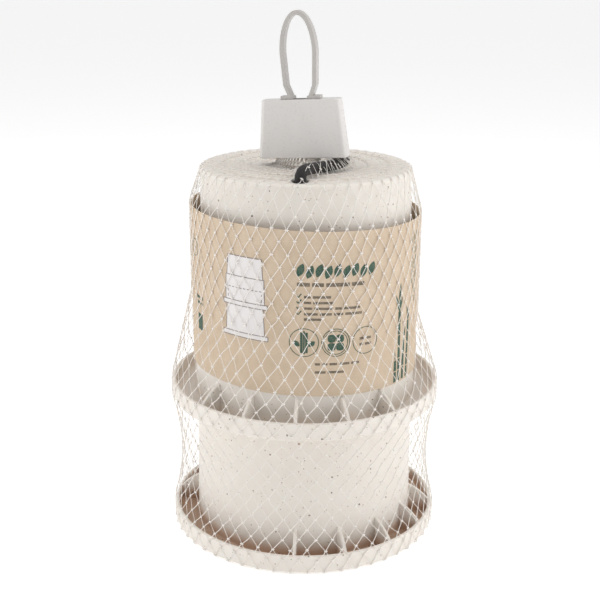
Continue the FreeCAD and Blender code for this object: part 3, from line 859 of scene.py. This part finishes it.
def top_height(points):
    """Height of the net over the top face, tented over the cord."""
    radius = np.hypot(points[..., 0], points[..., 1])
    base = TOP_Z + 0.28 + 0.87 * np.clip((55.6 - radius) / 8.0, 0, 1)
    gap = np.full(radius.shape, 1e3)
    crest = np.zeros(radius.shape)
    for centre in cord_over_top[::3]:
        away = np.hypot(points[..., 0] - centre[0], points[..., 1] - centre[1])
        crest = np.where(away < gap, centre[2], crest)
        gap = np.minimum(gap, away)
    touch = CORD_HALF * math.sin(CORD_ANGLE)
    over = crest + np.sqrt(np.maximum(CORD_HALF ** 2 - np.minimum(gap, touch) ** 2, 0))
    tent = over - np.maximum(gap - touch, 0) * math.tan(CORD_ANGLE)
    return np.maximum(base, tent)


def crown(azimuth, share):
    """Strand places from the top edge, share 0, to the foot ring, share 1."""
    rim = around(azimuth, TOP_EDGE_R, TOP_EDGE_Z)
    foot = mouth_point(azimuth, 0.0)
    outward = foot[..., :2] - np.array([MOUTH_PLACE[0], MOUTH_PLACE[1]])
    foot = np.concatenate([foot[..., :2] + FOOT_RISE * unit(outward), foot[..., 2:]], -1)
    plan = rim + (foot - rim) * share[..., None]
    plan[..., 2] = np.minimum(top_height(plan), 214.0)
    edge = np.clip(share / 0.04, 0, 1)
    plan[..., 2] = TOP_EDGE_Z + (plan[..., 2] - TOP_EDGE_Z) * edge * (2 - edge)
    near = np.clip((share - 0.86) / 0.14, 0, 1)
    plan[..., 2] = plan[..., 2] + (MOUTH_PLACE[2] - plan[..., 2]) * near * near * (3 - 2 * near)
    return plan


def neck(azimuth, share):
    """Strand places from the foot ring, share 0, up into the sleeve, share 1."""
    start = crown(azimuth, np.ones_like(share))
    end = mouth_point(azimuth, 7.0)
    pinch = mouth_point(azimuth, 3.4)
    return (1 - share[..., None]) ** 2 * start + 2 * (share * (1 - share))[..., None] * pinch \
        + (share ** 2)[..., None] * end


# %% [markdown]
# ## Strands and nodes
#
# A knotless net is two families of twisted strands that pass through each other wherever
# they meet, and each meeting is a small flattened lump along the row. The two families don't
# come out alike: one is a little fatter. Where the net is stretched its diamonds lie wide,
# and where it hangs they stand tall, so the height of a row changes along the net. Every
# node is nudged a little at random, because a hand pulled the net on.

# %% Rows of the net
rng = np.random.default_rng(41)
RIGHT_STRAND, LEFT_STRAND = 0.21, 0.15
NODE_RADII = np.array([0.2, 0.4, 0.5, 0.4, 0.2])
NODE_HALF = 0.95
NODE_SHAKE = 0.5
NET_SIDES = 5
WALL_ROWS = ((LOWER_LIP[0], 7.0), (LOWER_LIP[1], 5.6), (UPPER_LIP[0], 5.5), (UPPER_LIP[1] + 8, 6.1),
             (140.0, 6.5), (TOP_EDGE_Z, 6.85))
NODE_AZIMUTH = math.radians(1.5)


def row_levels(knots, start, end):
    """Heights of the rows from start to end, with the spacing that knots gives for a height."""
    heights, steps = zip(*knots)
    levels = [start]
    while levels[-1] < end - 0.4 * np.interp(end, heights, steps):
        levels.append(levels[-1] + np.interp(levels[-1], heights, steps))
    levels = np.array(levels)
    return start + (levels - start) * (end - start) / (levels[-1] - start)


def base_place(azimuth, run):
    """Under the base and up the gathered tail; run counts down from the rim to the tip."""
    radii, heights = (np.array(v) for v in zip(*BASE_GATHER))
    stops = np.concatenate([[0], np.cumsum(np.hypot(np.diff(radii), np.diff(heights)))])
    radius = np.interp(run, stops, radii)
    return around(azimuth, radius, np.interp(run, stops, heights))


def wall_place(azimuth, z):
    return around(azimuth, wall_radius(azimuth, z), z)


def surface_normals(place, azimuth, level):
    """Outward across the surface, by small steps along it."""
    small = 1e-3
    across = place(azimuth + small, level) - place(azimuth - small, level)
    up = place(azimuth, level + small) - place(azimuth, level - small)
    return unit(np.cross(across, up))


# %% [markdown]
# A wire-frame modifier would give every strand the same round section and no lumps. Laying
# the strands one by one lets each family have its own thickness and each strand its own
# slight bow.

# %% Lattice of strands and lumps
def scattered_nodes(place, levels, first, shake):
    """Azimuth and level of every node, nudged except on the first and last row."""
    rows = len(levels)
    step = 2 * math.pi / COLUMNS
    shift = 0.5 * ((np.arange(rows) + first) % 2)[:, None]
    azimuth = (np.arange(COLUMNS)[None, :] + shift) * step + NODE_AZIMUTH
    level = np.repeat(np.asarray(levels, float)[:, None], COLUMNS, 1)
    size = np.median(np.abs(np.diff(levels)))
    wander = np.clip(rng.normal(0, 1, (2, rows, COLUMNS)), -2, 2)
    free = np.ones((rows, 1))
    free[0] = free[-1] = 0
    radius = np.linalg.norm(place(azimuth, level)[..., :2], axis=-1)
    azimuth = azimuth + wander[0] * shake * free / np.maximum(radius, 12) * 0.8
    level = level + wander[1] * shake * free * size / 6.5
    return azimuth, level


def strands(place, azimuth, level, first, lean, radius, bow):
    """The strands of one family, from each row to the next; lean is 1 or -1."""
    step = 2 * math.pi / COLUMNS
    share = np.linspace(0, 1, 5)
    lines, outward = [], []
    for row in range(len(level) - 1):
        shift = (row + first) % 2
        ahead = (np.arange(COLUMNS) + (shift if lean == 1 else shift - 1)) % COLUMNS
        turned = (azimuth[row + 1, ahead] - azimuth[row] + math.pi) % (2 * math.pi) - math.pi
        climbed = level[row + 1, ahead] - level[row]
        drift = rng.normal(0, bow, COLUMNS)[:, None] * 4 * share * (1 - share) * step * 0.12
        along = azimuth[row][:, None] + turned[:, None] * share + drift
        height = level[row][:, None] + climbed[:, None] * share
        lines.append(place(along, height))
        outward.append(surface_normals(place, along, height))
    lines = np.concatenate(lines)
    return tubes(lines, np.full(lines.shape[:2], radius), np.concatenate(outward), NET_SIDES)


def lumps(place, azimuth, level, thin):
    """A short flattened lump along the row at each node."""
    step = 2 * math.pi / COLUMNS
    radius = np.maximum(np.linalg.norm(place(azimuth, level)[:, :2], axis=-1), 4)
    reach = np.linspace(-1, 1, 5)[None, :] * (NODE_HALF * thin / radius)[:, None]
    along = azimuth[:, None] + np.clip(reach, -0.3 * step, 0.3 * step)
    height = np.repeat(level[:, None], 5, 1)
    swell = rng.uniform(0.85, 1.15, (len(azimuth), 1))
    outward = surface_normals(place, along, height)
    return tubes(place(along, height), NODE_RADII * swell * thin, outward, NET_SIDES + 1)


def netting(place, levels, first, shake=NODE_SHAKE, bow=0.25, end_lumps=True, thin=1.0):
    """A net between rows at those levels of a surface place(azimuth, level)."""
    azimuth, level = scattered_nodes(place, levels, first, shake)
    parts = [strands(place, azimuth, level, first, lean, radius * thin, bow)
             for lean, radius in ((1, RIGHT_STRAND), (-1, LEFT_STRAND))]
    rows = slice(None) if end_lumps else slice(1, -1)
    parts.append(lumps(place, azimuth[rows].ravel(), level[rows].ravel(), thin))
    return joined(parts)


# %% [markdown]
# ## Net pieces, one for each body it touches
#
# The net is one thing, but its parts go with different bodies: the foot of it with the bag,
# the skirt and crown with the upper stilt, and the cut bunch with the clip; the waist and the
# neck are joined to no body. Each piece ends on a row of nodes, and the next begins on the
# same row, so no gap shows.

# %% Net material
def drawn_polyethylene():
    material, tree, principled = new_material(
        "drawn_white_polyethylene", Base_Color=linear("#eee9e3"), Roughness=0.34, IOR=1.51,
        Subsurface_Weight=0.15, Subsurface_Radius=(1.0, 1.0, 1.0), Subsurface_Scale=0.5 * MM)
    place = add(tree, "TexCoord").outputs["Object"]
    drawn = add(tree, "TexNoise", {"Vector": place, "Scale": per_mm(0.7), "Detail": 1.0})
    bump(tree, principled, drawn.outputs["Fac"], 0.03)
    return material


net_material = drawn_polyethylene()


def net_piece(name, mesh, replaced, body=None):
    piece = new_piece(name, *mesh, net_material, smooth=False)
    piece.data.shade_smooth()
    piece.data.set_sharp_from_angle(angle=math.radians(75))
    if body:
        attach(piece, body)
    if replaced:
        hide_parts(*replaced)
    return piece


# %% [markdown]
# The rows are counted once for the whole wall, and the pieces share the row they meet on.

# %% Foot, waist and skirt
FOOT_SPLIT = LOWER_LIP[0] + 0.6
levels_up = row_levels(WALL_ROWS, FOOT_SPLIT, TOP_EDGE_Z)
waist_end = int(np.argmin(np.abs(levels_up - (UPPER_LIP[1] - 1.5))))
base_run = np.concatenate([np.arange(0, 62, 7.3), np.array([66.5, 74.5, 81.0, 87.0, 98.0])])
print(len(levels_up), "rows up the wall,", len(base_run), "under the base")

foot = netting(base_place, base_run, 0, end_lumps=False)
net_piece("net_foot", foot, ["net_base", "net_tail"], "net_bag")
waist = netting(wall_place, levels_up[:waist_end + 1], 0)
waist_piece = net_piece("net_waist_mesh", waist, ["net_waist"])
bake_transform(waist_piece)
skirt = netting(wall_place, levels_up[waist_end:], waist_end % 2)
net_piece("net_skirt", skirt, ["net_upper"], "upper_stilt")

# %% [markdown]
# The crown lies still on the upper stilt; the neck is the short part between the crown and the
# clip's mouth; and the cut ends of the strands sit pressed flat inside the clip.

# %% Crown, neck and bunch
CROWN_ROWS = 6
crown_first = (len(levels_up) - 1) % 2
crown_rows = np.linspace(0, 1, CROWN_ROWS + 1)
crown_net = netting(crown, crown_rows, crown_first, shake=0.3, end_lumps=False, thin=0.8)
net_piece("net_crown", crown_net, [], "upper_stilt")
neck_net = netting(neck, np.array([0.0, 0.35, 1.0]), (crown_first + CROWN_ROWS) % 2, shake=0.0, bow=0.05,
                   thin=0.8)
neck_piece = net_piece("net_neck_mesh", neck_net, ["net_neck"])
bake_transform(neck_piece)


def bunch():
    """The cut ends of the strands, pressed flat inside the clip."""
    count = 60
    share = np.linspace(0, 1, 9)
    turn = np.linspace(0, 2 * math.pi, count, endpoint=False)
    start = mouth_point(turn, 5.6)
    top = mouth_point(turn, 22.0)
    line = start[:, None] + (top - start)[:, None] * share[:, None]
    size, turns, phase = (rng.uniform(*span, (count, 1)) for span in ((0.2, 0.7), (6, 12), (0, 6)))
    wave = size * np.sin(share * turns + phase)
    across = np.array([math.cos(MOUTH_YAW), math.sin(MOUTH_YAW), 0])
    line = line + wave[..., None] * across
    outward = np.broadcast_to(np.array([across[1], -across[0], 0.0]), line.shape)
    return tubes(line, np.full(line.shape[:2], 0.25), outward, NET_SIDES)


net_piece("net_bunch_ends", bunch(), ["net_bunch"], "hanger")

# %% [markdown]
# ## Clip, loop and crimp
#
# The hanger is pale grey polystyrene, moulded in a polished tool: the glossiest thing on the
# pack, with a soft highlight along each edge. The crimp under the base is a strip of mill
# aluminium, pressed round the gathered tail, bright but brushed along its length by rolling.

# %% Hanger and crimp materials
def glossy_styrene(name, dark, light):
    material, tree, principled = new_material(name, Roughness=0.28, IOR=1.59)
    place = add(tree, "TexCoord").outputs["Object"]
    flow = add(tree, "Mapping", {"Vector": place, "Scale": (1.0, 1.0, 0.25)})
    cloud = add(tree, "TexNoise", {"Vector": flow.outputs[0], "Scale": per_mm(9), "Detail": 2.0})
    tint = add(tree, "Mix", {"Factor": cloud.outputs["Fac"], 6: linear(dark), 7: linear(light)},
               data_type="RGBA")
    tree.links.new(tint.outputs[2], principled.inputs["Base Color"])
    dust = add(tree, "TexNoise", {"Vector": place, "Scale": per_mm(1.2), "Detail": 3.0})
    gloss = add(tree, "MapRange", {"Value": dust.outputs["Fac"], "To Min": 0.22, "To Max": 0.36})
    tree.links.new(gloss.outputs[0], principled.inputs["Roughness"])
    bump(tree, principled, cloud.outputs["Fac"], 0.05)
    return material


def rolled_aluminium():
    material, tree, principled = new_material("rolled_mill_aluminium", Base_Color=linear("#d9dadb"),
                                              Metallic=1.0, Roughness=0.3)
    place = add(tree, "TexCoord").outputs["Object"]
    along = add(tree, "Mapping", {"Vector": place, "Scale": (1.0, 1.0, 0.06)})
    lines = add(tree, "TexNoise", {"Vector": along.outputs[0], "Scale": per_mm(0.25), "Detail": 2.0})
    gloss = add(tree, "MapRange", {"Value": lines.outputs["Fac"], "To Min": 0.2, "To Max": 0.45})
    tree.links.new(gloss.outputs[0], principled.inputs["Roughness"])
    bump(tree, principled, lines.outputs["Fac"], 0.02)
    return material


sleeve_styrene = glossy_styrene("polished_grey_styrene", "#d6d2cf", "#dfdcd9")
strap_styrene = glossy_styrene("thin_grey_styrene_strap", "#b4b0ac", "#bebab6")
for name, material in (("hanger_sleeve", sleeve_styrene), ("hanger_loop", strap_styrene),
                       ("base_clip", rolled_aluminium())):
    nodes[name].data.materials.clear()
    nodes[name].data.materials.append(material)
    print(name, "wears", material.name)

# %% [markdown]
# ## Floor and light
#
# The pack stands on a pale glowing table, as small goods often do in a studio: a sheet of
# white acrylic lit from below melts into a white room, and only a soft contact shadow shows
# where the object stands. A broad box overhead and one at each side give the cream plastic
# its shape. The right box is the stronger, and the room is darkest in front of the object,
# so the wall falls off a little towards its middle.

# %% Add floor, world and lights
FLOOR_SIZE = 40.0
FLOOR_GLOW = 0.36
ROOM_FRONT, ROOM_BACK, ROOM_SEEN = 0.3, 0.66, 0.93
LIGHTS = (("top", (0.0, -0.15, 1.4), 1.2, 5.0), ("left", (-1.05, -0.25, 0.55), 0.9, 3.6),
          ("right", (1.05, -0.25, 0.55), 0.9, 4.6))
AIM = Vector((0.0, 0.0, 0.1))

acrylic = new_material(
    "lit_white_acrylic", Base_Color=linear("#fbfbfb"), Roughness=0.8, IOR=1.49,
    Emission_Color=linear("#ffffff"), Emission_Strength=FLOOR_GLOW)[0]
table_mesh = bpy.data.meshes.new("table")
half = FLOOR_SIZE / 2
corners = [(-half, -half, 0), (half, -half, 0), (half, half, 0), (-half, half, 0)]
table_mesh.from_pydata(corners, [], [(0, 1, 2, 3)])
table_mesh.materials.append(acrylic)
table = bpy.data.objects.new("table", table_mesh)
table.location.z = -0.0002
bpy.context.scene.collection.objects.link(table)

for name, place, size, power in LIGHTS:
    light = bpy.data.lights.new("softbox_" + name, "AREA")
    light.size = size
    light.energy = power
    softbox = bpy.data.objects.new("softbox_" + name, light)
    softbox.location = place
    softbox.rotation_mode = "QUATERNION"
    softbox.rotation_quaternion = (AIM - softbox.location).to_track_quat("-Z", "Y")
    bpy.context.scene.collection.objects.link(softbox)

room = bpy.data.worlds.new("white_room")
room.use_nodes = True
backdrop = room.node_tree.nodes["Background"]
eye = add(room.node_tree, "LightPath")
direction = add(room.node_tree, "TexCoord")
axes = add(room.node_tree, "SeparateXYZ", {"Vector": direction.outputs["Generated"]})
walls = add(room.node_tree, "MapRange", {"Value": axes.outputs["Y"], "From Min": -1.0, "From Max": 0.2,
                                         "To Min": ROOM_FRONT, "To Max": ROOM_BACK})
level = add(room.node_tree, "Mix", {"Factor": eye.outputs["Is Camera Ray"],
                                    2: walls.outputs[0], 3: ROOM_SEEN})
room.node_tree.links.new(level.outputs[0], backdrop.inputs["Strength"])
backdrop.inputs["Color"].default_value = (1, 1, 1, 1)
bpy.context.scene.world = room
bpy.context.scene.view_settings.view_transform = "Standard"
print(len(LIGHTS), "softboxes in a white room")
